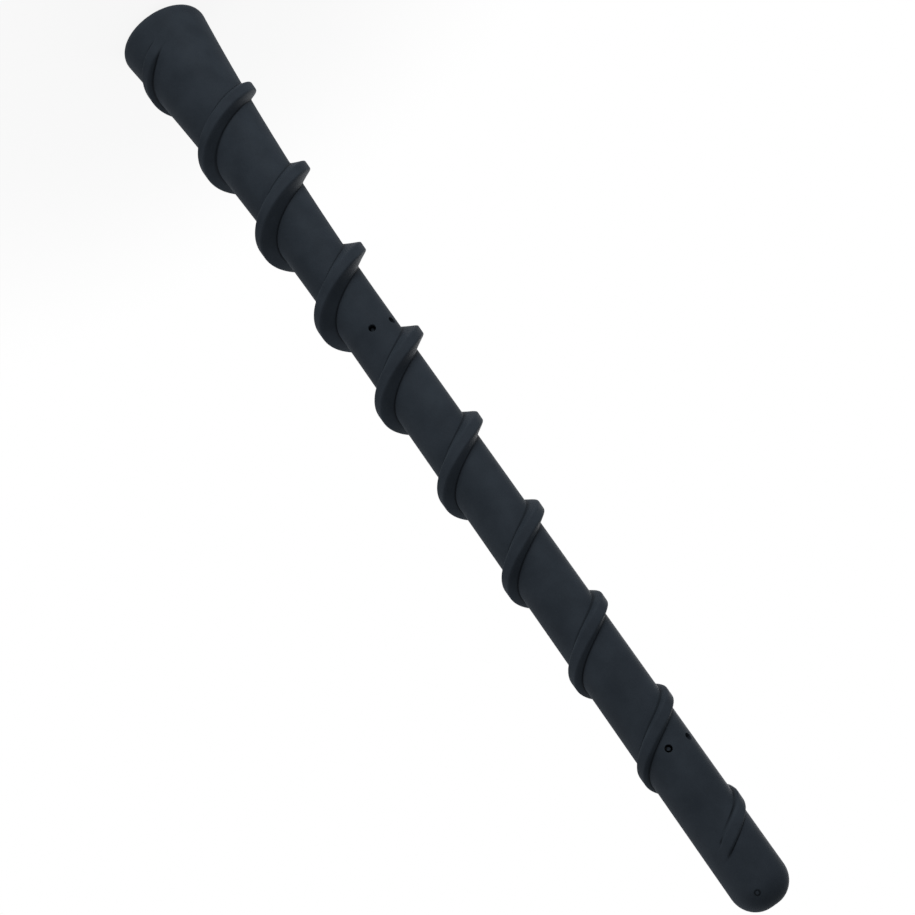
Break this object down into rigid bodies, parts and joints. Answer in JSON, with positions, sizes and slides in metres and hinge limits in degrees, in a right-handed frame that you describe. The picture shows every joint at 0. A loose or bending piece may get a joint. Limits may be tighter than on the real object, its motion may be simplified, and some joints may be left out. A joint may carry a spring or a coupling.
{
  "type": "car antenna mast",
  "caption": "Short screw-on car antenna mast: matte black rubber with a helical rib, a flared base and a female thread in the base end.",
  "frame": {"origin": "centre of the base end face, at the mouth of the threaded hole", "axes": "+Z along the mast from its base end to its tip; -Y is the side with the pair of core-pin holes that the picture shows"},
  "size_m": [0.0151, 0.0153, 0.17],
  "materials": {
    "jacket_rubber": "matte soft-touch",
    "ferrule_metal": "bright nickel plate",
    "rod_glass_fibre": "drawn glass fibre",
    "winding_copper": "bright copper",
    "solder_metal": "dull tin",
    "sleeve_plastic": "matte shrunk tube"
  },
  "bodies": {
    "root": {"mast_jacket": "jacket_rubber", "threaded_ferrule": "ferrule_metal", "core_rod": "rod_glass_fibre", "radiator_winding": "winding_copper", "solder_joint": "solder_metal", "core_sleeve": "sleeve_plastic"}
  },
  "joints": []
}
